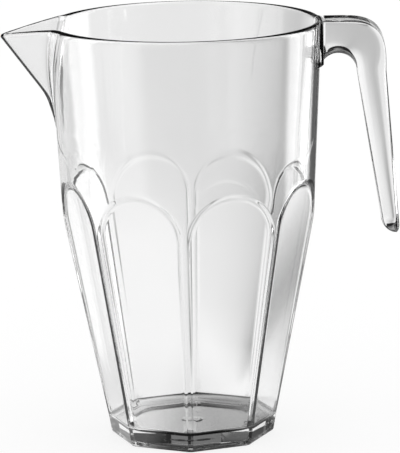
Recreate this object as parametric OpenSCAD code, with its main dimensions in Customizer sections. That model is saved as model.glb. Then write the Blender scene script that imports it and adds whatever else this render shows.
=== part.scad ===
// Clear beer pitcher: a round jug that turns into an eight-sided tumbler shape below a row of
// arches, on a thick foot, with a V spout and an open hook handle.
// Z is up, the ground is z = 0, the jug's axis is the Z axis, the spout points along -X and the
// handle along +X. All sizes are in millimetres.

/* [Vessel] */
// Height of the rim over the ground
jug_h = 230; // [222:1:240]
// Outer diameter of the rim
rim_d = 148; // [144:1:152]
// How far the wall draws in from the rim to the waist, where the steep lower taper starts
waist_in = 5.4; // [4:0.2:7]
// How far the corners draw in from the waist to the top of the foot
corner_in = 22.6; // [21:0.2:24]
// Thickness of the wall, measured level
wall_t = 3; // [2.4:0.1:3.4]

/* [Panels] */
// Number of flat panels round the lower body
panel_count = 8; // [7:1:9]
// Height of the top of each arch
arch_top_z = 146; // [142:1:150]
// How far the waist lies below the tops of the arches
waist_drop = 24; // [20:1:28]
// Depth of a panel below the wall at the top of its arch
arch_sink = 2.5; // [2:0.1:3]
// How far a panel lies inside the corners, on top of the foot
flat_in = 2.9; // [2.4:0.1:3.4]
// Width of the plain strip left between two panels
strip_w = 4; // [3:0.2:5]
// Width of the sloping shoulder inside each arch
shoulder_w = 1.8; // [1.2:0.1:2.4]

/* [Foot] */
// Height of the foot, which is also the height of the floor
foot_h = 8.5; // [7:0.5:10]
// How much the foot's sides draw in from its top to its bottom edge
foot_draft = 1.4; // [0.8:0.1:2]
// Radius of the foot's bottom edge
foot_edge_r = 2.2; // [1.6:0.1:2.6]
// Depth of the dish under the foot
dish_depth = 2.5; // [1.5:0.1:3]
// Width of the ring round the dish, under the middle of a panel
ring_w = 7.1; // [6:0.1:10]
// Diameter of the round mark that the moulding gate leaves in the dish
gate_d = 9; // [6:0.5:12]
// Height of that mark
gate_h = 0.6; // [0.4:0.1:1]
// Radius of the inner corner between floor and wall
floor_r = 8; // [6:0.5:9]

/* [Spout] */
// How far the spout's tip stands out from the rim
spout_out = 26; // [23:0.5:29]
// Drop of the lip from the rim to the tip
spout_drop = 6; // [4:0.5:8]
// How far below the rim the straight keel would meet the wall
keel_drop = 46; // [42:1:50]
// How far below that the keel's foot runs out on the wall
keel_foot_h = 9; // [6:1:12]
// Width of the spout's mouth at the rim
spout_w = 42; // [38:1:46]
// Thickness of the spout's wall
spout_t = 2.4; // [2:0.1:2.8]
// Radius inside the spout's keel
keel_r = 0.6; // [0.4:0.1:1]

/* [Handle] */
// Width of the handle
handle_w = 26; // [24:0.5:28]
// Space for the fingers between wall and leg, below the bridge
finger_gap = 19.8; // [18:0.2:22]
// Thickness of the bridge over the finger gap
bridge_t = 17.8; // [15:0.2:19]
// Thickness of the leg at the finger gap
leg_t = 16.2; // [14:0.2:18]
// Thickness of the leg just above its rounded end
leg_end_t = 10.4; // [9:0.2:12]
// Height of the handle, from the rim down to its lowest point
handle_h = 116.5; // [108:0.5:122]
// How far the leg's inner side leans out from top to bottom
leg_lean = 12.2; // [9:0.2:15]
// Height of the rounded end on its inner side
end_h = 9.5; // [8:0.5:12]
// How far the seat that the handle is welded to shows below the bridge
seat_show = 1.2; // [0.8:0.1:2]
// How far the seat stands out from the rim
seat_proud = 0.8; // [0.6:0.1:1.2]

/* [Hidden] */

$fn = 96;
clear = [0.86, 0.90, 0.93, 0.45];
clear_thick = [0.74, 0.79, 0.83, 0.55];

// Overrun of every cutting tool past what it cuts
cut = 4;
half = 180 / panel_count;
quarter = 90;

// The round wall above the waist and the corner cone below it
waist_z = arch_top_z - waist_drop;
waist_d = rim_d - 2 * waist_in;
corner_d = waist_d - 2 * corner_in;
flats_d = corner_d - 2 * flat_in;
dish_d = flats_d - 2 * ring_w;
function wall_r(z) = rim_d / 2 - (rim_d - waist_d) / 2 * (jug_h - z) / (jug_h - waist_z);
function cone_r(z) = corner_d / 2
    + (waist_d - corner_d) / 2 * (z - foot_h) / (waist_z - foot_h);

// A panel is a plane that leans outwards: its distance from the axis at a height
panel_slope = (wall_r(arch_top_z) - arch_sink - flats_d / 2) / (arch_top_z - foot_h);
panel_lean = atan(panel_slope);
function panel_d(z) = flats_d / 2 + panel_slope * (z - foot_h);

// The arch outline, drawn on the panel's plane: a round head and two legs that close in. On the
// foot the panels hardly sink, so there the flat itself reaches the strip.
arch_r = wall_r(arch_top_z) * sin(half) - strip_w / 2;
leg_run = (arch_top_z - foot_h) / cos(panel_lean) - arch_r;
leg_end_w = flats_d / 2 * tan(half) - strip_w / 2 + shoulder_w;
leg_close = asin(arch_r / norm([leg_end_w, leg_run])) - atan2(leg_end_w, leg_run);
panel_out = arch_sink + cut;

// The fillet between floor and wall starts a little below the floor, so that it ends in an edge
floor_bite = 0.3;
bar_x = flats_d / 2 - wall_t + panel_slope * floor_r - floor_r / cos(panel_lean);
bar_z = foot_h + floor_r - floor_bite;

// Spout: the centres of the balls whose hull is the V channel
spout_reach = rim_d / 2 + spout_out;
keel_foot_z = jug_h - keel_drop;
keel_end_z = keel_foot_z - keel_foot_h;
spout_out_r = keel_r + spout_t;
keel_slope = (spout_reach - wall_r(keel_foot_z)) / (jug_h - spout_drop - keel_foot_z);
keel_inset = spout_out_r * sqrt(1 + keel_slope * keel_slope);
function keel_x(z) = -(wall_r(keel_foot_z) + keel_slope * (z - keel_foot_z) - keel_inset);
mouth_x = -sqrt(pow(rim_d / 2, 2) - pow(spout_w / 2, 2));
// The V goes on past its corners by this share of its keel, above the lip and inside the jug
past_share = 0.3;
lip_lean = atan(spout_drop / (spout_reach - rim_d / 2));

// Handle: the centre of the arch over the finger gap, and where the seat's face is
gap_r = finger_gap / 2;
gap_z = jug_h - bridge_t - gap_r;
gap_x = wall_r(gap_z) + gap_r;
handle_end_z = jug_h - handle_h;
seat_x = rim_d / 2 + seat_proud;
seat_z = gap_z + sqrt(gap_r * gap_r - pow(gap_x - seat_x, 2)) - seat_show;
// The bend's outer corner is a superellipse of this power
corner_power = 3.4;
// So is the section: its outer side has crisp edges on the bridge, which get softer down the
// bend, and its inner side is round all the way
crisp_power = 20;
soft_power = 4.4;
inner_power = 2.8;
ring_points = 28;
root_rings = 4;
bend_rings = 10;
leg_rings = 7;
end_rings = 5;
// The rounded end: height of its outer side, place of its lowest point across the leg's
// thickness and width that it loses, as shares
end_outer_share = 0.35;
end_low_share = 0.85;
end_round_share = 0.3;

// The outer form of the vessel, drawn in by a level inset
module round_form(inset, low, high) {
    rotate_extrude()
        polygon([
            [0, low],
            [cone_r(low) - inset, low],
            [waist_d / 2 - inset, waist_z],
            [wall_r(high) - inset, high],
            [0, high]
        ]);
}

// Turns its children from the first panel's place to panel k
module at_panel(k) {
    rotate([0, 0, (k + 0.5) * 2 * half])
        children();
}

// Puts its children on a panel's plane: x runs down the panel from the top of the arch, y runs
// across it and z points out of the jug
module on_panel(k, inset) {
    at_panel(k)
        translate([panel_d(arch_top_z) - inset, 0, arch_top_z])
            rotate([0, quarter + panel_lean, 0])
                children();
}

// One half of the panel's flat below its round head
module leg_half() {
    flat_r = arch_r - shoulder_w;
    tangent = [arch_r + flat_r * sin(leg_close), flat_r * cos(leg_close)];
    down = leg_run + 2 * cut;
    polygon([
        [arch_r, 0],
        [arch_r, flat_r],
        tangent,
        tangent + down * [cos(leg_close), -sin(leg_close)],
        [tangent[0] + down * cos(leg_close), 0]
    ]);
}

// The tool that cuts one panel, with its sloping shoulder round the head and along both legs
module panel_tool() {
    lip = [
        [0, 0],
        [arch_r - shoulder_w, 0],
        [arch_r + shoulder_w * cut / arch_sink, panel_out],
        [0, panel_out]
    ];
    translate([arch_r, 0, 0])
        rotate_extrude()
            polygon(lip);
    for (side = [0, 1])
        mirror([0, side, 0]) {
            linear_extrude(panel_out)
                leg_half();
            translate([arch_r, 0, 0])
                rotate([0, 0, -leg_close])
                    rotate([quarter, 0, quarter])
                        linear_extrude(leg_run + 2 * cut)
                            polygon(lip);
        }
}

// The outer form with its panels, drawn in by a level inset
module panelled_form(inset, low, high) {
    difference() {
        round_form(inset, low, high);
        for (k = [0 : panel_count - 1])
            on_panel(k, inset)
                panel_tool();
    }
}

// Fills the inner corner between the floor and one panel with a fillet
module floor_bar() {
    touch = [bar_x + floor_r * cos(panel_lean), bar_z - floor_r * sin(panel_lean)];
    rotate([quarter, 0, 0])
        linear_extrude(corner_d, center = true)
            difference() {
                polygon([
                    [bar_x, bar_z],
                    [bar_x, foot_h - cut],
                    [touch[0] + cut, foot_h - cut],
                    [touch[0] + cut, touch[1]],
                    touch
                ]);
                translate([bar_x, bar_z])
                    circle(floor_r);
            }
}

// What the jug holds, down to the floor
module cavity() {
    difference() {
        panelled_form(wall_t, foot_h - cut, jug_h + cut);
        for (k = [0 : panel_count - 1])
            at_panel(k)
                floor_bar();
    }
}

// Rounds the rim of the wall to half its thickness
module rim_tool() {
    lip_r = wall_t / 2;
    lip_z = jug_h - lip_r;
    rotate_extrude()
        translate([wall_r(lip_z) - lip_r, lip_z])
            difference() {
                translate([-lip_r - cut, 0])
                    square([2 * (lip_r + cut), lip_r + cut]);
                circle(lip_r);
            }
}

// The flat seat for the handle, on the outside of the wall below the rim
module handle_seat() {
    difference() {
        rotate([quarter, 0, 0])
            linear_extrude(handle_w, center = true)
                polygon([
                    [rim_d / 2 - handle_w / 2, jug_h],
                    [seat_x, jug_h],
                    [seat_x, seat_z],
                    [wall_r(seat_z) - wall_t / 2, seat_z - wall_t],
                    [rim_d / 2 - handle_w / 2, seat_z - wall_t]
                ]);
        round_form(wall_t / 2, foot_h, jug_h + cut);
    }
}

module jug_wall() {
    color(clear)
        union() {
            difference() {
                panelled_form(0, foot_h, jug_h);
                cavity();
                rim_tool();
                spout_hull(spout_out_r);
            }
            handle_seat();
        }
}

// Half section of the foot: its side draws in and ends in the rounded bottom edge
module foot_section(top_r) {
    side = norm([foot_draft, foot_h]);
    edge_x = top_r - foot_draft - foot_edge_r * (side - foot_draft) / foot_h;
    polygon([
        [0, 0],
        [edge_x, 0],
        [edge_x + foot_edge_r * foot_h / side, foot_edge_r * (1 - foot_draft / side)],
        [top_r, foot_h],
        [0, foot_h]
    ]);
    translate([edge_x, foot_edge_r])
        circle(foot_edge_r);
}

// Everything behind one flat side of the foot
module foot_side() {
    rotate([quarter, 0, 0])
        linear_extrude(corner_d, center = true) {
            foot_section(flats_d / 2);
            translate([-corner_d, 0])
                square([corner_d, foot_h]);
        }
}

module jug_foot() {
    color(clear_thick)
        difference() {
            intersection() {
                rotate_extrude()
                    foot_section(corner_d / 2);
                intersection_for(k = [0 : panel_count - 1])
                    at_panel(k)
                        foot_side();
            }
            difference() {
                translate([0, 0, -cut])
                    cylinder(h = cut + dish_depth, d = dish_d);
                translate([0, 0, dish_depth - gate_h])
                    cylinder(h = gate_h, d = gate_d);
            }
        }
}

// The V of the spout as a hull of balls: low on the keel, past the tip, and inside the jug on
// both sides of the mouth
module spout_hull(r) {
    tip_z = jug_h - spout_drop;
    foot = [keel_x(keel_foot_z), 0, keel_foot_z];
    tip = [keel_x(tip_z), 0, tip_z];
    keel = (tip - foot) * past_share;
    hull()
        for (side = [-1, 1]) {
            mouth = [mouth_x, side * (spout_w / 2 - keel_r), jug_h];
            for (centre = [foot - keel, tip + keel, mouth + keel + (mouth - tip) * past_share])
                translate(centre)
                    sphere(r, $fn = 32);
        }
}

// The short foot under the keel, which brings it down on to the wall
module keel_foot() {
    top_z = 2 * keel_foot_z - keel_end_z;
    difference() {
        hull()
            for (z = [keel_end_z, top_z])
                translate([z == top_z ? keel_x(z) : -wall_r(z) + spout_out_r, 0, z])
                    sphere(spout_out_r, $fn = 32);
        round_form(0, foot_h, jug_h);
    }
}

// Everything above the rim, and above the lip that falls from it to the tip
module lip_tool() {
    for (lean = [0, lip_lean])
        translate([-rim_d / 2, 0, jug_h])
            rotate([0, -lean, 0])
                translate([-spout_reach, -spout_reach, 0])
                    cube([2 * spout_reach, 2 * spout_reach, spout_reach]);
}

module pouring_spout() {
    color(clear)
        difference() {
            union() {
                difference() {
                    spout_hull(spout_out_r);
                    round_form(wall_t, foot_h, jug_h + spout_reach);
                }
                keel_foot();
            }
            spout_hull(keel_r);
            lip_tool();
        }
}

// A ring of the handle between its inner and its outer point
function ring(inner, outer, width, outer_power) = [
    for (k = [0 : ring_points - 1])
        let (
            a = 360 * k / ring_points,
            power = sin(a) > 0 ? outer_power : inner_power,
            across = sign(cos(a)) * pow(abs(cos(a)), 2 / power),
            along = sign(sin(a)) * pow(abs(sin(a)), 2 / power),
            p = (inner + outer) / 2 + (outer - inner) / 2 * along
        )
        [p[0], width / 2 * across, p[1]]
];

// The bridge, from the seat to the middle of the finger gap
function root_ring(k) =
    let (x = seat_x + (gap_x - seat_x) * k / root_rings)
    ring([x, gap_z + sqrt(gap_r * gap_r - pow(gap_x - x, 2))], [x, jug_h], handle_w, crisp_power);

// The bend round the finger gap
function bend_out(a) = pow(
    pow(cos(a) / (gap_r + leg_t), corner_power) + pow(sin(a) / (gap_r + bridge_t), corner_power),
    -1 / corner_power
);
function bend_ring(k) =
    let (
        s = k / bend_rings,
        a = quarter * (1 - s),
        way = [cos(a), sin(a)],
        c = [gap_x, gap_z]
    )
    ring(
        c + gap_r * way, c + bend_out(a) * way, handle_w,
        crisp_power + (soft_power - crisp_power) * s
    );

// The leg gets thinner downwards and leans out. Its end is round and lowest near its outer side.
end_in = [gap_x + gap_r + leg_lean, handle_end_z + end_h];
end_out = [end_in[0] + leg_end_t, handle_end_z + end_h * end_outer_share];
end_low = [end_in[0] + leg_end_t * end_low_share, handle_end_z];
function leg_ring(k) =
    let (s = k / leg_rings, top_in = [gap_x + gap_r, gap_z], top_out = top_in + [leg_t, 0])
    ring(top_in + (end_in - top_in) * s, top_out + (end_out - top_out) * s, handle_w, soft_power);
function end_curve(from, a) =
    [end_low[0] + (from[0] - end_low[0]) * cos(a), end_low[1] + (from[1] - end_low[1]) * (1 - sin(a))];
function end_ring(k) =
    let (a = quarter * k / (end_rings + 1), width = handle_w * (1 - end_round_share * (1 - cos(a))))
    ring(end_curve(end_in, a), end_curve(end_out, a), width, soft_power);

module handle() {
    rings = [
        for (k = [0 : root_rings - 1]) root_ring(k),
        for (k = [0 : bend_rings - 1]) bend_ring(k),
        for (k = [0 : leg_rings - 1]) leg_ring(k),
        for (k = [0 : end_rings]) end_ring(k)
    ];
    last = (len(rings) - 1) * ring_points;
    color(clear)
        polyhedron(
            points = [for (r = rings) for (p = r) p],
            faces = [
                [for (j = [0 : ring_points - 1]) j],
                for (i = [0 : len(rings) - 2])
                    for (j = [0 : ring_points - 1])
                        let (next = (j + 1) % ring_points)
                        [
                            i * ring_points + j,
                            (i + 1) * ring_points + j,
                            (i + 1) * ring_points + next,
                            i * ring_points + next
                        ],
                [for (j = [ring_points - 1 : -1 : 0]) last + j]
            ]
        );
}

jug_wall();
jug_foot();
pouring_spout();
handle();
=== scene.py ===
import math

import bpy
from mathutils import Matrix, Vector


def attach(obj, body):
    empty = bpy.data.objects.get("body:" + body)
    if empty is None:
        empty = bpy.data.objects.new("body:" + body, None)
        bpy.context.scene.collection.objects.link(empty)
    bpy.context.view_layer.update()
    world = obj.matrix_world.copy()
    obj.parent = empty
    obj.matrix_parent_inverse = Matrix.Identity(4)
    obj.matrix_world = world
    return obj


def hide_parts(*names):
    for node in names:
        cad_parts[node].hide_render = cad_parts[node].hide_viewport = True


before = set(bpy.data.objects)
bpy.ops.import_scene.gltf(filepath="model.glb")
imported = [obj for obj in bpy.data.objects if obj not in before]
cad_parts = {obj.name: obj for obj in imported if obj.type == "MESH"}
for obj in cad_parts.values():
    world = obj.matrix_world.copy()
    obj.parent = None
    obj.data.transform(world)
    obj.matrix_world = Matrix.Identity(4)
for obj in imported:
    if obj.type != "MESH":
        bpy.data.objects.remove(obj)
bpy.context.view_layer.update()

# The body moulding: the jug's wall, foot, floor and spout in one piece of clear polycarbonate.
# It is injection moulded, so its outer skin (from the cavity) and its inner skin (from the core)
# are made here as pressed sheets and then merged. Sizes are millimetres, and inset is 0 or WALL.
MM = 0.001
RIM_R, RIM_Z = 74.0, 230.0
WAIST_R, WAIST_Z, WAIST_SOFT = 68.6, 122.0, 0.6
CORNER_R, FLAT_R, FOOT_Z = 46.0, 43.1, 8.5
WALL = 3.0
PANELS = 8
HALF = math.pi / PANELS
# Corners that are closer than MERGE, in metres, are one. One within FOUND of a place is at it.
MERGE = 2e-6
FOUND = 0.01


def soft_min(a, b, reach):
    return min(a, b) - max(reach - abs(a - b), 0) ** 2 / (4 * reach)


def soft_max(a, b, reach):
    return max(a, b) + max(reach - abs(a - b), 0) ** 2 / (4 * reach)


def ease(share):
    share = min(max(share, 0.0), 1.0)
    return share * share * (3 - 2 * share)


def upper_taper(z):
    return RIM_R - (RIM_R - WAIST_R) * (RIM_Z - z) / (RIM_Z - WAIST_Z)


def wall_radius(z, inset):
    """The round wall, which tapers a little down to the waist and more below it."""
    lower = CORNER_R + (WAIST_R - CORNER_R) * (z - FOOT_Z) / (WAIST_Z - FOOT_Z)
    return soft_min(upper_taper(z), lower, WAIST_SOFT) - inset


def around_axis(radius, angle, z):
    return radius * math.cos(angle), radius * math.sin(angle), z


def sheet(name, across, along, place):
    """A grid of faces with each corner (i, j) moved to its place, given in millimetres."""
    bpy.ops.object.select_all(action="DESELECT")
    bpy.ops.mesh.primitive_grid_add(x_subdivisions=across, y_subdivisions=along, size=1)
    made = bpy.context.object
    made.name = name
    for v in made.data.vertices:
        i, j = round((v.co.x + 0.5) * across), round((v.co.y + 0.5) * along)
        v.co = Vector(place(i, j)) * MM
    return made


def merged(pieces, name):
    """Joins the sheets into one and merges the corners that they share."""
    bpy.ops.object.select_all(action="DESELECT")
    for piece in pieces:
        piece.select_set(True)
    bpy.context.view_layer.objects.active = pieces[0]
    if len(pieces) > 1:
        bpy.ops.object.join()
    made = bpy.context.object
    made.name = made.data.name = name
    bpy.ops.object.mode_set(mode="EDIT")
    bpy.ops.mesh.select_all(action="SELECT")
    bpy.ops.mesh.remove_doubles(threshold=MERGE)
    bpy.ops.object.mode_set(mode="OBJECT")
    return made


def on_row(p, row):
    return any(abs(p.x - x) + abs(p.y - y) + abs(p.z - z) < FOUND for x, y, z in row)


def face_over(piece, chosen, border=0.0):
    """Closes the ring or row of corners that `chosen` picks with a flat face inside a border."""
    bpy.context.view_layer.objects.active = piece
    bpy.ops.object.mode_set(mode="EDIT")
    bpy.ops.mesh.select_mode(type="VERT")
    bpy.ops.mesh.select_all(action="DESELECT")
    bpy.ops.object.mode_set(mode="OBJECT")
    for v in piece.data.vertices:
        v.select = chosen(v.co / MM)
    bpy.ops.object.mode_set(mode="EDIT")
    bpy.ops.mesh.edge_face_add()
    if border:
        bpy.ops.mesh.select_mode(type="FACE")
        bpy.ops.mesh.inset(thickness=border * MM)
    bpy.ops.object.mode_set(mode="OBJECT")


def smooth_and_outwards():
    """Turns the faces of the piece in hand outwards and shades it smooth."""
    bpy.ops.object.mode_set(mode="EDIT")
    bpy.ops.mesh.select_all(action="SELECT")
    bpy.ops.mesh.normals_make_consistent(inside=False)
    bpy.ops.object.mode_set(mode="OBJECT")
    bpy.ops.object.shade_smooth()


# The arched panels: eight leaning flats below a row of round heads, pressed into both skins, so
# that the wall keeps its thickness. A soft shoulder climbs from each flat to the round wall, and
# narrow strips of that wall are left standing between the legs.
ARCH_TOP, ARCH_SINK, STRIP = 146.0, 2.5, 4.0
SHOULDER_IN, SHOULDER_OUT, LEG_SHOULDER, STRIP_SHARE = 2.9, 0.5, 1.8, 0.8
CROWN_IN, CROWN_OUT, CROWN_REACH = 0.8, 1.0, 1.15
FLAT_EDGE, FLAT_BORDER = 0.9, 0.7
ARCH_TOP_R = upper_taper(ARCH_TOP)
PANEL_SLOPE = (ARCH_TOP_R - ARCH_SINK - FLAT_R) / (ARCH_TOP - FOOT_Z)
LEAN = math.atan(PANEL_SLOPE)
ARCH_R = ARCH_TOP_R * math.sin(HALF) - STRIP / 2
LEG_RUN = (ARCH_TOP - FOOT_Z) / math.cos(LEAN) - ARCH_R
LEG_END = FLAT_R * math.tan(HALF) - STRIP / 2 + LEG_SHOULDER
LEG_CLOSE = math.asin(ARCH_R / math.hypot(LEG_END, LEG_RUN)) - math.atan2(LEG_END, LEG_RUN)
HEAD_STEPS, LEG_STEPS, TOP_STEPS = 24, 14, 12
FLAT_ROWS, SHOULDER_ROWS, OUT_ROWS = 1, 8, 4
DOWN_STEPS = HEAD_STEPS + LEG_STEPS
ACROSS_STEPS = FLAT_ROWS + SHOULDER_ROWS + OUT_ROWS
RISE_TRIES = 8
JOIN_Z = 152.0


def panel_distance(z, inset):
    return FLAT_R + PANEL_SLOPE * (z - FOOT_Z) - inset


def panel_point(i, j, inset, low_z):
    """Corner i down the arch's outline and j across it, from the flat out to the strip."""
    run = (ARCH_TOP - low_z) / math.cos(LEAN) - ARCH_R
    if i <= HEAD_STEPS:
        turn = (math.pi / 2 + LEG_CLOSE) * i / HEAD_STEPS
        side, down = math.sin(turn), -math.cos(turn)
        y0, u0 = ARCH_R * side, ARCH_R + ARCH_R * down
    else:
        side, down = math.cos(LEG_CLOSE), math.sin(LEG_CLOSE)
        start = ARCH_R + ARCH_R * down
        u0 = start + (run + ARCH_R - start) * (i - HEAD_STEPS) / LEG_STEPS
        y0 = (ARCH_R - (u0 - ARCH_R) * down) / side
        side, down = 1.0, 0.0

    def on_panel(q, rise):
        """A place q outside the outline, on the flat (rise 0), on the round wall (1) or between."""
        y, u = y0 + q * side, u0 + q * down
        z = ARCH_TOP - u * math.cos(LEAN)
        x = panel_distance(z, inset)
        height = 0.0
        for _ in range(RISE_TRIES):
            radius = wall_radius(z - height * math.sin(LEAN), inset)
            height = (math.sqrt(max(radius ** 2 - y * y, 0)) - x) / math.cos(LEAN)
        height = min(rise * height, height)
        return x + height * math.cos(LEAN), y, z - height * math.sin(LEAN)

    crown = ease(CROWN_REACH - i / TOP_STEPS)
    inner = -SHOULDER_IN - CROWN_IN * crown
    outer = SHOULDER_OUT + CROWN_OUT * crown
    if i > TOP_STEPS:
        mid_z = ARCH_TOP - u0 * math.cos(LEAN)
        edge_y = wall_radius(mid_z, inset) * math.sin(HALF)
        outer = min(outer, inner + STRIP_SHARE * (edge_y - y0 - inner))
    if j <= FLAT_ROWS:
        x, y, z = on_panel(inner - FLAT_EDGE * (FLAT_ROWS - j) / FLAT_ROWS, 0.0)
    elif j <= FLAT_ROWS + SHOULDER_ROWS:
        share = (j - FLAT_ROWS) / SHOULDER_ROWS
        x, y, z = on_panel(inner + (outer - inner) * share, ease(share))
    else:
        share = (j - FLAT_ROWS - SHOULDER_ROWS) / OUT_ROWS
        x, y, z = on_panel(outer, 1.0)
        crest = math.atan2(y, x)
        if i <= TOP_STEPS:
            far, far_z = HALF * i / TOP_STEPS, JOIN_Z
        elif i <= HEAD_STEPS:
            drop = (i - TOP_STEPS) / (HEAD_STEPS - TOP_STEPS)
            side_z = ARCH_TOP - (ARCH_R + ARCH_R * math.sin(LEG_CLOSE)) * math.cos(LEAN)
            far, far_z = HALF, JOIN_Z + (side_z - JOIN_Z) * drop
        else:
            far, far_z = HALF, z
        angle, z = crest + (far - crest) * share, z + (far_z - z) * share
        x, y, z = around_axis(wall_radius(z, inset), angle, z)
    if i == DOWN_STEPS:
        angle, z = math.atan2(y, x), low_z
        radius = min(panel_distance(z, inset) / math.cos(angle), wall_radius(z, inset))
        x, y, z = around_axis(radius, angle, z)
    return x, y, z


def arched_panels(name, inset, low_z):
    """Eight panels: one half is pressed, mirrored, given its flat and turned round the jug."""
    half = sheet(name, DOWN_STEPS, ACROSS_STEPS, lambda i, j: panel_point(i, j, inset, low_z))
    for v in half.data.vertices:
        if abs(v.co.y) < MERGE:
            v.co.y = 0
    mirror = half.modifiers.new("other half", "MIRROR")
    mirror.use_axis = (False, True, False)
    mirror.merge_threshold = MERGE
    bpy.ops.object.modifier_apply(modifier=mirror.name)
    row = [panel_point(i, 0, inset, low_z) for i in range(DOWN_STEPS + 1)]
    face_over(half, lambda p: on_row(Vector((p.x, abs(p.y), p.z)), row), FLAT_BORDER)
    half.data.transform(Matrix.Rotation(HALF, 4, "Z"))
    bpy.ops.object.mode_set(mode="EDIT")
    bpy.ops.mesh.select_all(action="SELECT")
    bpy.ops.mesh.spin(steps=PANELS - 1, dupli=True, angle=2 * HALF * (PANELS - 1),
                      center=(0, 0, 0), axis=(0, 0, 1))
    bpy.ops.object.mode_set(mode="OBJECT")
    return half


# The upper wall, with the spout and the handle's seat, which are pressed out of the round wall
# above the arches. The spout is a V with a falling lip, and its keel runs out on the wall as a
# short curve. The seat is a flat pad on the outside only, and the rim is rounded all round.
SPOUT_TIP, SPOUT_DROP, V_HALF = 101.3, 6.0, math.radians(36)
KEEL_SLOPE, KEEL_SOFT = 0.74, 1.6
KEEL_FOOT_R, KEEL_FOOT_Z, KEEL_FOOT_SLOPE = 71.3, 174.5, 0.32
KEEL_BLUNT, KEEL_BLUNT_INSIDE, SPOUT_WALL = 1.7, 0.5, 3.1
CREASE_SOFT, CREASE_SOFTER, CREASE_SOFT_INSIDE = 2.0, 2.0, 1.6
CREASE_LOW, CREASE_SPAN = 176, 36
SPOUT_LOW, SPOUT_REACH = 165, 0.9
CREASE_FROM, CREASE_REACH, CREASE_TRIES = 170, 0.6, 20
SEAT_X, SEAT_W, SEAT_EDGE, SEAT_LOW, SEAT_HIGH = 74.8, 26.0, 0.7, 204.2, 207.2
SEAT_FACING = 0.9
COLUMNS = 2 * PANELS * TOP_STEPS
EIGHTH = COLUMNS // PANELS
CREASE_NEAR, CREASE_LEAST, DRAW_SPAN = 6, 3, 16
LIP, LIP_STEPS, LIP_TRIES = 1.5, 8, 6
# Heights of the rows of corners, close together over the seat's lower edge.
UPPER_LEVELS = [152, 156, 160, 164, 168, 171, 174, 177, 180, 183, 186, 189, 192, 195, 198, 201,
                203, 204.2, 204.8, 205.5, 206.2, 206.9, 207.3, 209, 212, 215, 218, 221, 224, 226.5,
                RIM_Z - LIP]
TOP_ROW = len(UPPER_LEVELS) - 1


def keel_reach(z):
    straight = SPOUT_TIP - KEEL_SLOPE * (RIM_Z - SPOUT_DROP - z)
    foot = KEEL_FOOT_R + KEEL_FOOT_SLOPE * (z - KEEL_FOOT_Z)
    return soft_max(straight, foot, KEEL_SOFT)


def v_radius(angle, reach, blunt):
    """Distance from the axis to the V in one direction; `blunt` rounds its keel."""
    t, c, s = math.tan(V_HALF), math.cos(angle), math.sin(angle)
    apex = reach + blunt / t
    a, b, d = c * c * t * t - s * s, apex * c * t * t, apex * apex * t * t - blunt * blunt
    return d / (b + math.sqrt(max(b * b - a * d, 0)))


def spout_shape(z, inset):
    """Reach of the V at this height, how far its keel is rounded, and its blend with the wall."""
    if inset:
        return keel_reach(z) - SPOUT_WALL, KEEL_BLUNT_INSIDE, CREASE_SOFT_INSIDE
    blend = CREASE_SOFT + CREASE_SOFTER * ease((z - CREASE_LOW) / CREASE_SPAN)
    return keel_reach(z), KEEL_BLUNT, blend


def crease_angle(z, inset):
    """Where the V meets the round wall, measured from the spout."""
    reach, blunt, _ = spout_shape(z, inset)
    low, high = 0.0, CREASE_REACH
    radius = wall_radius(z, inset)
    if z < CREASE_FROM or v_radius(0, reach, blunt) < radius:
        return 0.0
    for _ in range(CREASE_TRIES):
        mid = (low + high) / 2
        low, high = (mid, high) if v_radius(mid, reach, blunt) > radius else (low, mid)
    return low


def upper_radius(angle, z, inset):
    """The wall above the arches, with the spout at half a turn and the seat at none."""
    radius = wall_radius(z, inset)
    off = abs(math.remainder(angle - math.pi, 2 * math.pi))
    if off < SPOUT_REACH and z > SPOUT_LOW:
        reach, blunt, blend = spout_shape(z, inset)
        radius = soft_max(radius, v_radius(off, reach, blunt), blend)
    side = abs(radius * math.sin(angle))
    if not inset and math.cos(angle) > SEAT_FACING:
        proud = (ease((SEAT_W / 2 + SEAT_EDGE / 2 - side) / SEAT_EDGE)
                 * ease((z - SEAT_LOW) / (SEAT_HIGH - SEAT_LOW)))
        radius += max(SEAT_X / math.cos(angle) - radius, 0) * proud
    return radius


def along_marks(marks, off):
    """Angle at one place between marks, each a share of an eighth turn and its degrees."""
    c = abs(off) / (math.pi / 4)
    angle = marks[-1][1]
    for (c0, a0), (c1, a1) in zip(marks, marks[1:]):
        if c <= c1:
            angle = a0 + (a1 - a0) * (c - c0) / (c1 - c0)
            break
    return math.copysign(math.radians(angle), off)


def column_angle(i, z, inset):
    """Columns draw together on the spout's keel and creases and on the seat's edges."""
    plain = 2 * math.pi * i / COLUMNS
    drawn = plain
    off = math.remainder(plain - math.pi, 2 * math.pi)
    if abs(off) < math.pi / 4:
        crease = math.degrees(crease_angle(z, inset))
        near, flank = min(crease / CREASE_NEAR, 1), max(crease, CREASE_LEAST)
        # The blunt keel, both sides of the crease, the wall beside it, and even columns again.
        marks = [(0, 0), (5 / EIGHTH, 0.6 + 1.6 * near),
                 (8 / EIGHTH, max(crease - 2.4 * near, 1.2 + 1.2 * near)),
                 (17 / EIGHTH, flank + 3.2), (20 / EIGHTH, flank + 8.5), (1, 45)]
        drawn = math.pi + along_marks(marks, off)
    off = math.remainder(plain, 2 * math.pi)
    if abs(off) < math.pi / 4:
        drawn = along_marks([(0, 0), (8 / EIGHTH, 9.3), (14 / EIGHTH, 10.8), (1, 45)], off)
    return plain + math.remainder(drawn - plain, 2 * math.pi) * ease((z - JOIN_Z) / DRAW_SPAN)


def lip_height(radius):
    return RIM_Z - SPOUT_DROP * min(max((radius - RIM_R) / (SPOUT_TIP - RIM_R), 0), 1)


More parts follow.
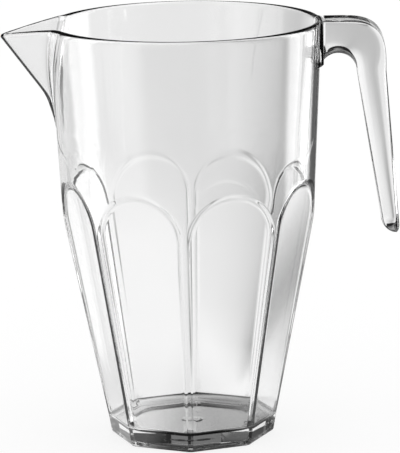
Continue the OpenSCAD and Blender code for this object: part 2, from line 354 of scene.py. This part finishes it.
def upper_point(i, j, inset):
    """Corner in column i at level j; the levels sink towards the spout with its falling lip."""
    nominal = UPPER_LEVELS[j]
    angle = column_angle(i % COLUMNS, nominal, inset)
    top = RIM_Z
    for _ in range(LIP_TRIES):
        top = lip_height(upper_radius(angle, top, inset))
    z = JOIN_Z + (nominal - JOIN_Z) * (top - LIP - JOIN_Z) / (RIM_Z - LIP - JOIN_Z)
    return around_axis(upper_radius(angle, z, inset), angle, z)


def lip_point(i, j):
    """Corner j of the half round that closes column i over the rim."""
    outer, inner = (Vector(upper_point(i, TOP_ROW, inset)) for inset in (0, WALL))
    turn = math.pi * j / LIP_STEPS
    rise = Vector((0, 0, LIP * math.sin(turn)))
    return (outer + inner) / 2 + (outer - inner) / 2 * math.cos(turn) + rise


# The foot: the thick eight-sided base of the moulding. Its sides draw in a little down to a
# rounded edge, and below it are the ring that the jug stands on, a shallow dish that keeps the
# middle off the table, and the round mark of the moulding gate.
DRAFT, EDGE_R, EDGE_STEPS = 1.4, 2.2, 7
FOOT_LEVELS = (6.5, 4.5, 3.0, 2.3)
DISH_R, DISH_Z, GATE_R, GATE_H = 36.0, 2.5, 4.5, 0.6


def ring_angles(inset, low_z):
    """Directions of the corners along the panels' lower edge, all the way round the jug."""
    lower = (panel_point(DOWN_STEPS, j, inset, low_z) for j in range(ACROSS_STEPS + 1))
    offsets = [math.atan2(y, x) for x, y, _ in lower]
    one = [-a for a in reversed(offsets)] + offsets
    return [(2 * k + 1) * HALF + a for k in range(PANELS) for a in one[:-1]]


def from_panel(angle):
    return math.remainder(angle - HALF, 2 * HALF)


# Rows of corners as (step in from the side or radius, height), from the top edge to the middle.
slope = math.atan(DRAFT / FOOT_Z)
edge_top = EDGE_R * (1 - math.sin(slope))
edge_in = -DRAFT * (FOOT_Z - edge_top) / FOOT_Z
foot_rows = [(0.0, FOOT_Z)] + [(-DRAFT * (FOOT_Z - z) / FOOT_Z, z) for z in FOOT_LEVELS]
for k in range(EDGE_STEPS + 1):
    turn = slope + (math.pi / 2 - slope) * k / EDGE_STEPS
    foot_rows.append((edge_in - EDGE_R * (math.cos(slope) - math.cos(turn)),
                      EDGE_R * (1 - math.sin(turn))))
dish_rows = [(DISH_R + 1.2, 0.0), (DISH_R + 0.5, 0.0), (DISH_R + 0.15, 0.15), (DISH_R, 0.5),
             (DISH_R - 0.1, 1.9), (DISH_R - 0.3, 2.3), (DISH_R - 0.7, DISH_Z), (DISH_R - 2, DISH_Z),
             (GATE_R + 2, DISH_Z), (GATE_R + 0.5, DISH_Z), (GATE_R + 0.1, DISH_Z - 0.1),
             (GATE_R - 0.1, DISH_Z - 0.5), (GATE_R - 0.5, DISH_Z - GATE_H),
             (GATE_R - 1.2, DISH_Z - GATE_H)]
foot_angles = ring_angles(0, FOOT_Z)


def foot_point(i, j):
    """Corner i of row j: eight-sided rows down the foot, then round rows below it."""
    angle = foot_angles[i % len(foot_angles)]
    if j < len(foot_rows):
        step, z = foot_rows[j]
        radius = min((FLAT_R + step) / math.cos(from_panel(angle)), CORNER_R + step)
    else:
        radius, z = dish_rows[j - len(foot_rows)]
    return around_axis(radius, angle, z)


# The floor's inner corner: a low curve of the same moulding, which runs round the eight sides
# from the inner wall down to the flat floor, with its eight corners cut a little rounder.
FILLET_WIDE, FILLET_HIGH, FILLET_BULGE = 9.0, 3.0, 1.35
FILLET_START, FILLET_STEPS = 0.12, 12
CORNER_CUT, CORNER_CUT_MORE, FLOOR_EDGE = 0.38, 1.3, 0.9


def fillet(turn):
    return (FILLET_WIDE * math.cos(turn) ** FILLET_BULGE,
            FILLET_HIGH * (1 - math.sin(turn) ** FILLET_BULGE))


INNER_LOW = FOOT_Z + fillet(FILLET_START)[1]
FILLET_X = panel_distance(INNER_LOW, WALL) - fillet(FILLET_START)[0]
floor_angles = ring_angles(WALL, INNER_LOW)


def floor_point(i, j):
    """Corner i of ring j down the curve; the last ring is flat on the floor."""
    angle = floor_angles[i % len(floor_angles)]
    share = min(j / FILLET_STEPS, 1.0)
    turn = FILLET_START + (math.pi / 2 - FILLET_START) * share
    wide, high = fillet(min(turn, math.pi / 2))
    flat, z = FILLET_X + wide, FOOT_Z + high
    if j > FILLET_STEPS:
        flat -= FLOOR_EDGE * (j - FILLET_STEPS)
    corner = flat / math.cos(HALF) - (CORNER_CUT + CORNER_CUT_MORE * share)
    if j == 0:
        flat, corner = panel_distance(z, WALL), wall_radius(z, WALL)
    return around_axis(min(flat / math.cos(from_panel(angle)), corner), angle, z)


# The whole moulding: the sheets are merged at their shared edges, and the gate's mark and the
# floor are closed with flat faces. The plastic is clear all through, a little grey in the thick
# foot, with faint flow waves, wash scratches and haze, and scuffs where it stands.
CLEAR, FOOT_GREY, REFRACTION = (0.99, 0.99, 0.99), (0.9, 0.9, 0.9), 1.58
GREY_TOP, CLEAR_LOW, SCUFF_TOP = 0.0068, 0.0078, 0.0012
# Each mark's noise as scale, stretch and detail, then the range it is read over and what it gives.
SCRATCHES = (900, (1, 1, 0.04), 2), (0.7, 0.8, 0, 0.05)
HAZE = (30, (1, 1, 1), 3), (0.35, 0.7, 0, 0.006)
SCUFFS = (500, (1, 1, 1), 4), (0.52, 0.68, 0, 0.5)
FLOW_WAVES, WAVE_STRENGTH, WAVE_HEIGHT = (25, (1, 1, 0.35), 1), 0.05, 0.001
MIX_A, MIX_B, MIX_OUT = 6, 7, 2

outer_panels = arched_panels("outer", 0, FOOT_Z)
inner_panels = arched_panels("inner", WALL, INNER_LOW)
outer_upper = sheet("outer upper", COLUMNS, TOP_ROW, lambda i, j: upper_point(i, j, 0))
inner_upper = sheet("inner upper", COLUMNS, TOP_ROW, lambda i, j: upper_point(i, j, WALL))
rim = sheet("rim", COLUMNS, LIP_STEPS, lip_point)
foot = sheet("foot", len(foot_angles), len(foot_rows) + len(dish_rows) - 1, foot_point)
floor_sheet = sheet("floor", len(floor_angles), FILLET_STEPS + 1, floor_point)
body = merged([outer_panels, inner_panels, outer_upper, inner_upper, rim, foot, floor_sheet],
              "body_moulding")
gate_r = dish_rows[-1][0]
face_over(body, lambda p: p.z < FOOT_Z and abs(math.hypot(p.x, p.y) - gate_r) < FOUND)
floor_ring = [floor_point(i, FILLET_STEPS + 1) for i in range(len(floor_angles))]
face_over(body, lambda p: abs(p.z - FOOT_Z) < FOUND and on_row(p, floor_ring))
smooth_and_outwards()


def fed(tree, node, feeds, output=0):
    """Gives a shader node's inputs values or other nodes' outputs, and returns its own output."""
    for name, value in feeds.items():
        if isinstance(value, bpy.types.NodeSocket):
            tree.links.new(value, node.inputs[name])
        else:
            node.inputs[name].default_value = value
    return node.outputs[output]


def added(tree, kind, feeds, output=0):
    return fed(tree, tree.nodes.new(kind), feeds, output)


def spread(tree, value, low, high, to_low, to_high):
    return added(tree, "ShaderNodeMapRange", {"Value": value, "From Min": low, "From Max": high,
                                              "To Min": to_low, "To Max": to_high}, "Result")


def maths(tree, operation, a, b):
    node = tree.nodes.new("ShaderNodeMath")
    node.operation = operation
    return fed(tree, node, {0: a, 1: b})


def mixed(tree, kind, a, b, share=1):
    node = tree.nodes.new("ShaderNodeMix")
    node.data_type = "RGBA"
    node.blend_type = kind
    return fed(tree, node, {"Factor": share, MIX_A: a, MIX_B: b}, MIX_OUT)


def clear_plastic(name, low_tint=None):
    """The clear plastic, with its marks as roughness, its waves as bump, and a tint low down."""
    made = bpy.data.materials.new(name)
    made.use_nodes = True
    tree = made.node_tree
    shader = tree.nodes["Principled BSDF"].inputs
    shader["Transmission Weight"].default_value = 1
    shader["IOR"].default_value = REFRACTION
    shader["Base Color"].default_value = (*CLEAR, 1)
    place = added(tree, "ShaderNodeTexCoord", {}, "Object")
    height = added(tree, "ShaderNodeSeparateXYZ", {0: place}, "Z")

    def noise(scale, stretch, detail):
        shaped = added(tree, "ShaderNodeMapping", {"Vector": place, "Scale": stretch})
        return added(tree, "ShaderNodeTexNoise",
                     {"Vector": shaped, "Scale": scale, "Detail": detail}, "Fac")

    if low_tint:
        share = spread(tree, height, GREY_TOP, CLEAR_LOW, 0, 1)
        colour = mixed(tree, "MIX", (*low_tint, 1), (*CLEAR, 1), share)
        tree.links.new(colour, shader["Base Color"])
    scratches, haze, scuffs = (spread(tree, noise(*grain), *levels)
                               for grain, levels in (SCRATCHES, HAZE, SCUFFS))
    scuffs = maths(tree, "MULTIPLY", scuffs, spread(tree, height, 0, SCUFF_TOP, 1, 0))
    rough = maths(tree, "ADD", maths(tree, "ADD", scratches, haze), scuffs)
    tree.links.new(rough, shader["Roughness"])
    waves = added(tree, "ShaderNodeBump", {"Strength": WAVE_STRENGTH, "Distance": WAVE_HEIGHT,
                                           "Height": noise(*FLOW_WAVES)})
    tree.links.new(waves, shader["Normal"])
    return made


body.data.materials.append(clear_plastic("clear body", FOOT_GREY))
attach(body, "root")
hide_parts("jug_wall", "jug_foot", "pouring_spout")

# The handle: a solid bar of the same plastic, moulded apart as an open hook and welded to the
# seat by its end. Its outer side is flat with crisp edges, its inner side is round for the
# fingers, and its leg leans out and gets thinner down to a rounded end.
BRIDGE, LEG_T, LEG_END_T, GAP = 17.8, 16.2, 10.4, 19.8
GAP_R = GAP / 2
GAP_Z = RIM_Z - BRIDGE - GAP_R
GAP_X = wall_radius(GAP_Z, 0) + GAP_R
HANDLE_W, HANDLE_LOW, LEG_OUT = 26.0, 113.5, 12.2
END_H, END_OUT_RISE, END_LOW_AT, END_NARROWS = 9.5, 0.35, 0.85, 0.3
END_TURN = math.radians(87)
CRISP, SOFT, ROUND, BEND_POWER = 20.0, 4.4, 5.0, 3.4
ROOT_STEPS, BEND_STEPS, LEG_RINGS, END_STEPS, RING = 6, 24, 14, 10, 64
RINGS = ROOT_STEPS + BEND_STEPS + LEG_RINGS + END_STEPS
WELD_GAP = 0.03
ROOT_X = SEAT_X + WELD_GAP


def handle_ring(k):
    """Inner point, outer point, width share and crispness of ring k along the hook."""
    if k < ROOT_STEPS:
        x = ROOT_X + (GAP_X - ROOT_X) * k / ROOT_STEPS
        below = GAP_Z + math.sqrt(GAP_R ** 2 - (GAP_X - x) ** 2)
        return Vector((x, below)), Vector((x, RIM_Z)), 1.0, CRISP
    k -= ROOT_STEPS
    if k < BEND_STEPS:
        share = k / BEND_STEPS
        a = math.pi / 2 * (1 - share)
        way = Vector((math.cos(a), math.sin(a)))
        reach = ((way.x / (GAP_R + LEG_T)) ** BEND_POWER
                 + (max(way.y, 0) / (GAP_R + BRIDGE)) ** BEND_POWER)
        centre = Vector((GAP_X, GAP_Z))
        return (centre + way * GAP_R, centre + way * reach ** (-1 / BEND_POWER), 1.0,
                CRISP + (SOFT - CRISP) * share)
    k -= BEND_STEPS
    end_in = Vector((GAP_X + GAP_R + LEG_OUT, HANDLE_LOW + END_H))
    end_out = Vector((end_in.x + LEG_END_T, HANDLE_LOW + END_H * END_OUT_RISE))
    low = Vector((end_in.x + LEG_END_T * END_LOW_AT, HANDLE_LOW))
    if k < LEG_RINGS:
        share = k / LEG_RINGS
        top_in = Vector((GAP_X + GAP_R, GAP_Z))
        top_out = top_in + Vector((LEG_T, 0))
        return top_in.lerp(end_in, share), top_out.lerp(end_out, share), 1.0, SOFT
    k -= LEG_RINGS
    a = END_TURN * k / END_STEPS

    def curve(start):
        return Vector((low.x + (start.x - low.x) * math.cos(a),
                       low.y + (start.y - low.y) * (1 - math.sin(a))))

    return curve(end_in), curve(end_out), 1 - END_NARROWS * (1 - math.cos(a)), SOFT


def handle_point(i, j):
    """Corner i of ring j, on a section that is crisp on the outer half and round on the inner."""
    inner, outer, width, crisp = handle_ring(j)
    a = 2 * math.pi * (i % RING) / RING
    power = crisp if math.sin(a) > 0 else ROUND
    across = math.copysign(abs(math.cos(a)) ** (2 / power), math.cos(a))
    along = math.copysign(abs(math.sin(a)) ** (2 / power), math.sin(a))
    p = (inner + outer) / 2 + (outer - inner) / 2 * along
    return p.x, HANDLE_W / 2 * width * across, p.y


hook = merged([sheet("handle", RING, RINGS, handle_point)], "hook_handle")
for end in (0, RINGS):
    end_row = [handle_point(i, end) for i in range(RING)]
    face_over(hook, lambda p: on_row(p, end_row))
smooth_and_outwards()
hook.data.materials.append(clear_plastic("clear handle"))
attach(hook, "root")
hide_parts("handle")

# The stage: a pale floor and a studio round it, both white to the camera. Clear plastic shows what
# stands round it, so rays in the plastic find painted light and shade, painted on the floor and the
# world, that changes with the direction, with the distance from the jug on the floor, and with the
# height in the room.
# Angles are degrees to the right of straight behind the jug, distances are metres from its axis,
# and heights are the upward share of a ray's direction.
REACH, BRIGHTEST, FLOOR_EVEN, BEHIND = 1.2, 3.0, 0.95, 0.75
AXIS, THROUGH_CENTRE, MIRROR_CENTRE = (0, 0, 0), (0.02, 0.06, 0), (0.06, -0.02, 0)
# Seen through the plastic: a painted backdrop shade that falls off to the right, far off and near
# the jug, and rings of painted shadow and light on the floor under the foot and just outside it.
FAR_PAINTED_BACKDROP = [(-89, 0.95), (-13, 0.95), (-10.5, 0.82), (-9, 0.88), (-7.7, 0.93), (-6.5, 0.92),
               (-5.2, 0.9), (-3.3, 0.87), (-0.8, 0.91), (0.7, 0.81), (2.3, 0.69), (4, 0.56),
               (5.5, 0.6), (8, 0.8), (12, 1.0), (269, 0.95)]
NEAR_PAINTED_BACKDROP = [(-89, 1.0), (-10, 1.02), (-6, 1.0), (-2.9, 0.91), (0.4, 0.8), (2, 0.69),
                (3.7, 0.45), (5.3, 0.26), (7, 0.4), (9, 0.8), (13, 0.85), (40, 0.85), (70, 1.0),
                (269, 1.0)]
PAINTED_SHADOW_RINGS = [(0, 0.95), (0.033, 0.95), (0.0345, 0.5), (0.0445, 0.5), (0.046, 0.8), (0.048, 0.8),
                (0.0495, 0.01), (0.056, 0.01), (0.06, 0.7), (0.07, 1.0), (1.2, 1.0)]
# Mirrored by the plastic, as painted reflections: a broad soft box on the left, a strip on the
# right and a dark camera side, far off, near the jug and in a second mirroring, and painted shade
# under the foot's middle.
FAR_PAINTED_REFLECTION = [(-89, 1.3), (-84, 1.3), (-79, 0.5), (-60, 0.55), (-40, 0.8), (-3, 0.95), (7, 0.8),
                (11, 0.1), (36, 0.15), (42, 2.0), (78, 2.4), (83, 0.2), (130, 0.06), (214, 0.06),
                (226, 0.9), (269, 1.3)]
NEAR_PAINTED_REFLECTION = [(-89, 0.8), (-3, 0.85), (7, 0.6), (11, 0.15), (46, 0.2), (60, 0.9), (140, 1.0),
                 (152, 0.1), (205, 0.1), (217, 1.1), (269, 0.8)]
TWICE_PAINTED_REFLECTION = [(-89, 0.9), (-35, 0.8), (-15, 0.12), (36, 0.08), (44, 1.2), (88, 1.2), (96, 0.1),
                  (215, 0.05), (226, 0.9), (269, 0.9)]
PAINTED_CONTACT_SHADE = [(0, 0.08), (0.034, 0.08), (0.038, 0.8), (0.05, 0.85), (0.054, 1.0), (1.2, 1.0)]
# Where one ramp gives way to the next, how far out the painted light from the left reaches on the
# floor under the foot, and the painted dark higher up in the room, with its two fainter painted
# rings of light.
CLOSE_MIX = [(0, 0), (0.1, 0), (0.2, 1), (1.2, 1)]
NEAR_TO_FAR = [(0, 0), (0.25, 0), (0.45, 1), (1.2, 1)]
THROUGH_MIX = [(0, 0), (0.5, 0), (0.85, 1), (1.2, 1)]
UNDER_FOOT_PAINTED_SHARE = [(0, 1), (0.055, 1), (0.065, 0), (1.2, 0)]
ABOVE_PAINTED_SHADE = [(0, 1), (0.07, 1), (0.085, 0.02), (0.145, 0.02), (0.17, 0.4), (0.2, 0.35), (0.215, 0.03),
         (0.245, 0.03), (0.26, 0.2), (0.3, 0.2), (0.33, 0.06), (1, 0.06)]
# Under the foot the painted light falls off from the left to the right.
LEFT_X, RIGHT_X, LEFT_PAINTED_LIGHT, RIGHT_PAINTED_LIGHT = -0.05, 0.05, 1.52, 0.3
# The floor that the camera sees glows white, and its matt share takes the jug's shadow.
FLOOR_SIZE, FLOOR_WHITE, FLOOR_GLOW, MATT_SHARE = 40, (0.95, 0.95, 0.95, 1), 1.02, 0.2


def ramp(tree, share, stops):
    made = tree.nodes.new("ShaderNodeValToRGB")
    tree.links.new(share, made.inputs["Fac"])
    edge = made.color_ramp.elements
    edge[0].position, edge[1].position = stops[0][0], stops[-1][0]
    for where, _ in stops[1:-1]:
        edge.new(where)
    for element, (_, value) in zip(edge, stops):
        element.color = (value, value, value, 1)
    return made.outputs["Color"]


def by_angle(tree, place, stops, centre=AXIS):
    """Brightness by direction from a centre, as seen from above."""
    moved = tree.nodes.new("ShaderNodeVectorMath")
    moved.operation = "SUBTRACT"
    turn = tree.nodes.new("ShaderNodeTexGradient")
    turn.gradient_type = "RADIAL"
    share = fed(tree, turn, {"Vector": fed(tree, moved, {0: place, 1: centre})}, "Fac")
    return ramp(tree, share,
                sorted((BEHIND - angle / 360, value / BRIGHTEST) for angle, value in stops))


def by_mirrors(tree, path, through, *mirrored):
    """Picks what a ray shows by how often it was mirrored: never, once, or more often."""
    shown = through
    for times, light in enumerate(mirrored):
        passed = maths(tree, "GREATER_THAN", path["Glossy Depth"], times + 0.5)
        shown = mixed(tree, "MIX", shown, light, passed)
    return shown


def painted_floor_light(tree, path, place):
    """Painted light and shade that the plastic shows of the floor, by direction and by distance
    from the jug.
    """
    length = tree.nodes.new("ShaderNodeVectorMath")
    length.operation = "LENGTH"
    distance = maths(tree, "DIVIDE", fed(tree, length, {0: place}, "Value"), REACH)
    sideways = added(tree, "ShaderNodeSeparateXYZ", {0: place}, "X")
    # Painted light under the foot, brighter on the left and darker on the right.
    across = spread(tree, sideways, LEFT_X, RIGHT_X, LEFT_PAINTED_LIGHT, RIGHT_PAINTED_LIGHT)

    def away(stops):
        return ramp(tree, distance, [(far / REACH, value) for far, value in stops])

    def towards(stops, centre=AXIS):
        return by_angle(tree, place, stops, centre)

    # Seen through the plastic: painted backdrop falloff, painted shadow rings and painted light
    # from the left.
    even = (FLOOR_EVEN / BRIGHTEST, FLOOR_EVEN / BRIGHTEST, FLOOR_EVEN / BRIGHTEST, 1)
    close = mixed(tree, "MIX", even, towards(NEAR_PAINTED_BACKDROP, THROUGH_CENTRE), away(CLOSE_MIX))
    through = mixed(tree, "MIX", close, towards(FAR_PAINTED_BACKDROP, THROUGH_CENTRE), away(THROUGH_MIX))
    through = mixed(tree, "MULTIPLY", through, away(PAINTED_SHADOW_RINGS))
    through = mixed(tree, "MULTIPLY", through, across, away(UNDER_FOOT_PAINTED_SHARE))
    # Mirrored in the plastic: painted soft box and strip reflections and a painted dark camera
    # side.
    far = towards(FAR_PAINTED_REFLECTION, MIRROR_CENTRE)
    once = mixed(tree, "MIX", towards(NEAR_PAINTED_REFLECTION), far, away(NEAR_TO_FAR))
    twice = mixed(tree, "MIX", towards(TWICE_PAINTED_REFLECTION), once, away(NEAR_TO_FAR))
    # Painted shade under the foot's middle and painted light from the left, laid over both
    # reflections.
    painted_foot_shade_and_light = mixed(tree, "MULTIPLY", away(PAINTED_CONTACT_SHADE), across, away(UNDER_FOOT_PAINTED_SHARE))
    once, twice = (mixed(tree, "MULTIPLY", light, painted_foot_shade_and_light) for light in (once, twice))
    return by_mirrors(tree, path, through, once, twice)


bpy.ops.object.select_all(action="DESELECT")
bpy.ops.mesh.primitive_plane_add(size=FLOOR_SIZE)
ground = bpy.context.object
ground.name = "ground"
white = bpy.data.materials.new("white floor")
white.use_nodes = True
tree = white.node_tree
tree.nodes.clear()
path = tree.nodes.new("ShaderNodeLightPath").outputs
place = added(tree, "ShaderNodeTexCoord", {}, "Object")
# Rays in the plastic see the floor glow with painted light and shade; the camera sees it white.
painted_light_in_plastic = added(tree, "ShaderNodeEmission", {"Color": painted_floor_light(tree, path, place),
                                                "Strength": BRIGHTEST})
matt = added(tree, "ShaderNodeBsdfDiffuse", {"Color": FLOOR_WHITE})
glow = added(tree, "ShaderNodeEmission", {"Strength": FLOOR_GLOW})
seen = added(tree, "ShaderNodeMixShader", {"Fac": MATT_SHARE, 1: glow, 2: matt})
either = added(tree, "ShaderNodeMixShader", {"Fac": path["Is Camera Ray"], 1: painted_light_in_plastic, 2: seen})
tree.links.new(either, tree.nodes.new("ShaderNodeOutputMaterial").inputs["Surface"])
ground.data.materials.append(white)

world = bpy.data.worlds.new("studio")
bpy.context.scene.world = world
world.use_nodes = True
tree = world.node_tree
tree.nodes.clear()
path = tree.nodes.new("ShaderNodeLightPath").outputs
place = added(tree, "ShaderNodeTexCoord", {}, "Generated")
# Rays in the plastic see painted light in the world: backdrop falloff, soft box, strip and painted
# dark above.
shown = by_mirrors(tree, path, by_angle(tree, place, FAR_PAINTED_BACKDROP),
                   by_angle(tree, place, FAR_PAINTED_REFLECTION))
height = added(tree, "ShaderNodeSeparateXYZ", {0: place}, "Z")
shown = mixed(tree, "MULTIPLY", shown, ramp(tree, height, ABOVE_PAINTED_SHADE))
around = added(tree, "ShaderNodeBackground", {"Color": shown, "Strength": BRIGHTEST})
plain = added(tree, "ShaderNodeBackground", {"Color": (1, 1, 1, 1)})
ray = maths(tree, "MAXIMUM", path["Is Glossy Ray"], path["Is Transmission Ray"])
either = added(tree, "ShaderNodeMixShader", {"Fac": ray, 1: plain, 2: around})
tree.links.new(either, tree.nodes.new("ShaderNodeOutputWorld").inputs["Surface"])

# The camera: far off with a long lens, a little to the right of the front and looking down.
SENSOR, FOCAL_LENGTH, PICTURE_HEIGHT = 36, 3450, 453
CAMERA_AT = (59.6, -1845.8, 515.4)
TURNED, LOOKS_DOWN, TILTED = math.radians(1.66), 0.21305, -0.018912
bpy.ops.object.camera_add()
camera = bpy.context.object
camera.data.lens = SENSOR * FOCAL_LENGTH / PICTURE_HEIGHT
camera.data.sensor_width = SENSOR
camera.data.clip_end = 100
camera.matrix_world = (Matrix.Translation(Vector(CAMERA_AT) * MM)
                       @ Matrix.Rotation(TURNED, 4, "Z")
                       @ Matrix.Rotation(math.pi / 2 - LOOKS_DOWN, 4, "X")
                       @ Matrix.Rotation(TILTED, 4, "Z"))
bpy.context.scene.camera = camera
bpy.context.scene.view_settings.view_transform = "Standard"
